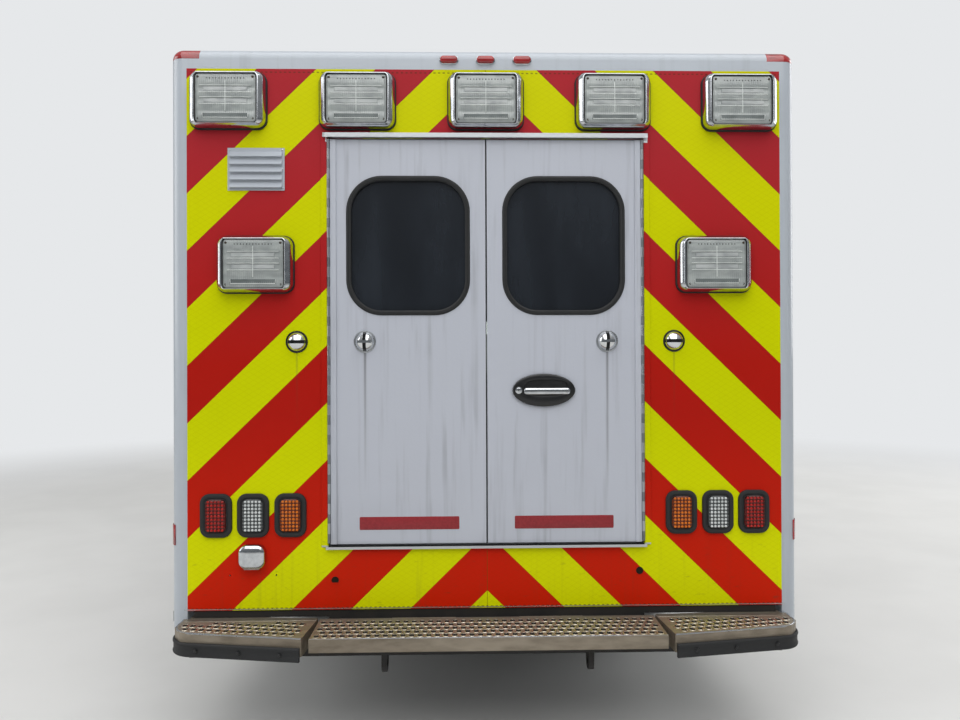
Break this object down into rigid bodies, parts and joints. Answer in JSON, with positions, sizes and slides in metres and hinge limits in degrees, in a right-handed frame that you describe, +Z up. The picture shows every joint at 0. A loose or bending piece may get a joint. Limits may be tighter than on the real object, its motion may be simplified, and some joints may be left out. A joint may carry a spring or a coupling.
{
  "type": "box ambulance",
  "caption": "Box ambulance on a cab chassis: white module with striped rear, twin rear doors, lockers, folding step, twin rear wheels",
  "frame": {"origin": "on the ground, at the middle of the overall length and width", "axes": "+Y forward along the vehicle, +X to its right (kerb) side, +Z up; the rear face looks along -Y"},
  "size_m": [2.6, 6.698, 2.7249],
  "materials": {
    "body_white": "gloss, lightly dulled",
    "frame_black": "satin",
    "cast": "rough",
    "aluminium": "mill finish, worn",
    "chrome": "polished",
    "lens_clear": "clear ribbed",
    "lamp_red": "clear coloured",
    "rubber": "matt",
    "tyre": "matt",
    "glass": "dark tint",
    "wheel_steel": "bright",
    "dark_plastic": "grained",
    "upholstery": "vinyl",
    "interior_light": "laminate",
    "floor_vinyl": "flecked"
  },
  "bodies": {
    "chassis": {"frame_rails": "frame_black", "cross_members": "frame_black", "engine_block": "cast", "driveline": "cast", "front_axle": "cast", "rear_axle": "cast", "leaf_springs": "cast", "fuel_tank": "frame_black", "exhaust": "aluminium", "front_bumper": "chrome", "fixed_steps": "aluminium", "step_rubbers": "rubber", "cab_shell": "body_white", "front_fenders": "body_white", "nose_panel": "body_white", "fixed_glass": "glass", "dashboard": "dark_plastic", "seats": "upholstery", "module_roof": "body_white", "corner_posts": "body_white", "wall_left": "body_white", "wall_right": "body_white", "wall_rear": "body_white", "wall_front": "body_white", "module_floor": "floor_vinyl", "locker_liners": "aluminium", "inside_fittings": "interior_light", "light_bezels": "chrome", "light_lenses": "lens_clear", "small_lamps": "lamp_red"},
    "hood": {"hood": "body_white"},
    "step": {"step_middle": "aluminium"},
    "knuckle_left": {"knuckle_left": "cast"},
    "knuckle_right": {"knuckle_right": "cast"},
    "front_wheel_left": {"front_rim_left": "wheel_steel", "front_tyre_left": "tyre"},
    "front_wheel_right": {"front_rim_right": "wheel_steel", "front_tyre_right": "tyre"},
    "rear_wheels_left": {"rear_rims_left": "wheel_steel", "rear_tyres_left": "tyre"},
    "rear_wheels_right": {"rear_rims_right": "wheel_steel", "rear_tyres_right": "tyre"},
    "cab_door_left": {"cab_door_left": "body_white", "cab_glass_left": "glass", "mirror_left": "dark_plastic"},
    "cab_door_right": {"cab_door_right": "body_white", "cab_glass_right": "glass", "mirror_right": "dark_plastic"},
    "rear_door_left": {"rear_door_left": "body_white", "rear_glass_left": "glass"},
    "rear_door_right": {"rear_door_right": "body_white", "rear_glass_right": "glass"},
    "entry_door": {"entry_door": "body_white", "entry_glass": "glass"},
    "locker_front_left": {"locker_front_left": "body_white"},
    "locker_mid_left": {"locker_mid_left": "body_white"},
    "locker_rear_left": {"locker_rear_left": "body_white"},
    "locker_rear_right": {"locker_rear_right": "body_white"}
  },
  "joints": [
    {"name": "steer_left", "type": "hinge", "parent": "chassis", "child": "knuckle_left", "pos_m": [-0.8, 2.589, 0.372], "axis": [0, 0, 1], "range_deg": [-35, 35]},
    {"name": "steer_right", "type": "hinge", "parent": "chassis", "child": "knuckle_right", "pos_m": [0.8, 2.589, 0.372], "axis": [0, 0, 1], "range_deg": [-35, 35]},
    {"name": "front_spin_left", "type": "hinge", "parent": "knuckle_left", "child": "front_wheel_left", "pos_m": [-0.88, 2.589, 0.372], "axis": [1, 0, 0], "continuous": true},
    {"name": "front_spin_right", "type": "hinge", "parent": "knuckle_right", "child": "front_wheel_right", "pos_m": [0.88, 2.589, 0.372], "axis": [1, 0, 0], "continuous": true},
    {"name": "rear_spin_left", "type": "hinge", "parent": "chassis", "child": "rear_wheels_left", "pos_m": [-0.9, -1.424, 0.372], "axis": [1, 0, 0], "continuous": true},
    {"name": "rear_spin_right", "type": "hinge", "parent": "chassis", "child": "rear_wheels_right", "pos_m": [0.9, -1.424, 0.372], "axis": [1, 0, 0], "continuous": true},
    {"name": "hood_lift", "type": "hinge", "parent": "chassis", "child": "hood", "pos_m": [0, 2.36361, 1.28139], "axis": [1, 0, 0], "range_deg": [0, 50]},
    {"name": "step_flip", "type": "hinge", "parent": "chassis", "child": "step", "pos_m": [0, -3.136, 0.52], "axis": [-1, 0, 0], "range_deg": [0, 90]},
    {"name": "cab_door_left_swing", "type": "hinge", "parent": "chassis", "child": "cab_door_left", "pos_m": [-1.017, 2.1135, 1.2], "axis": [0, 0, -1], "range_deg": [0, 65]},
    {"name": "cab_door_right_swing", "type": "hinge", "parent": "chassis", "child": "cab_door_right", "pos_m": [1.017, 2.1135, 1.2], "axis": [0, 0, 1], "range_deg": [0, 65]},
    {"name": "rear_door_left_swing", "type": "hinge", "parent": "chassis", "child": "rear_door_left", "pos_m": [-0.6085, -3.13, 1.5885], "axis": [0, 0, -1], "range_deg": [0, 155]},
    {"name": "rear_door_right_swing", "type": "hinge", "parent": "chassis", "child": "rear_door_right", "pos_m": [0.6085, -3.13, 1.5885], "axis": [0, 0, 1], "range_deg": [0, 155]},
    {"name": "entry_door_swing", "type": "hinge", "parent": "chassis", "child": "entry_door", "pos_m": [1.225, 0.4825, 1.38], "axis": [0, 0, 1], "range_deg": [0, 100]},
    {"name": "locker_front_left_swing", "type": "hinge", "parent": "chassis", "child": "locker_front_left", "pos_m": [-1.225, 0.9325, 1.325], "axis": [0, 0, -1], "range_deg": [0, 105]},
    {"name": "locker_mid_left_swing", "type": "hinge", "parent": "chassis", "child": "locker_mid_left", "pos_m": [-1.225, 0.2025, 0.945], "axis": [0, 0, -1], "range_deg": [0, 105]},
    {"name": "locker_rear_left_swing", "type": "hinge", "parent": "chassis", "child": "locker_rear_left", "pos_m": [-1.225, -2.9025, 1.325], "axis": [0, 0, 1], "range_deg": [0, 105]},
    {"name": "locker_rear_right_swing", "type": "hinge", "parent": "chassis", "child": "locker_rear_right", "pos_m": [1.225, -2.9025, 1.325], "axis": [0, 0, -1], "range_deg": [0, 105]}
  ],
  "couplings": [
    {"joint": "steer_right", "follows": "steer_left", "ratio": 1}
  ]
}
